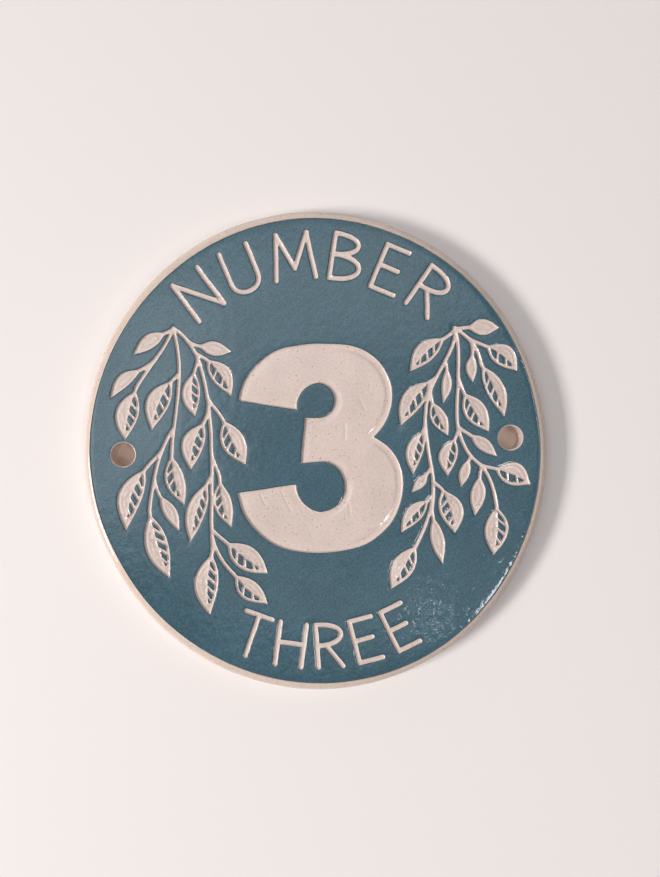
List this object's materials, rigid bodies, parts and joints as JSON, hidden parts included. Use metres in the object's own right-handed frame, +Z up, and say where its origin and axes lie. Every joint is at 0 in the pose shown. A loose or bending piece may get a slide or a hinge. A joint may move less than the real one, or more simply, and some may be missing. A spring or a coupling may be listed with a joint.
{
  "type": "house number plaque",
  "caption": "Oval glazed ceramic house number plaque with a numeral and leaf sprays carved through coloured slip, and screw holes for fixing it flat to a wall.",
  "frame": {"origin": "middle of the flat back, where the plaque lies on the wall", "axes": "+Z up as the plaque hangs, +X to the viewer's right, -Y out of the carved face towards the viewer, +Y into the wall"},
  "size_m": [0.1476, 0.0072, 0.1524],
  "materials": {
    "slip_glaze": "blue-grey slip over buff clay, carved through to the clay, under a clear glossy glaze"
  },
  "bodies": {
    "root": {"plaque": "slip_glaze"}
  },
  "joints": []
}
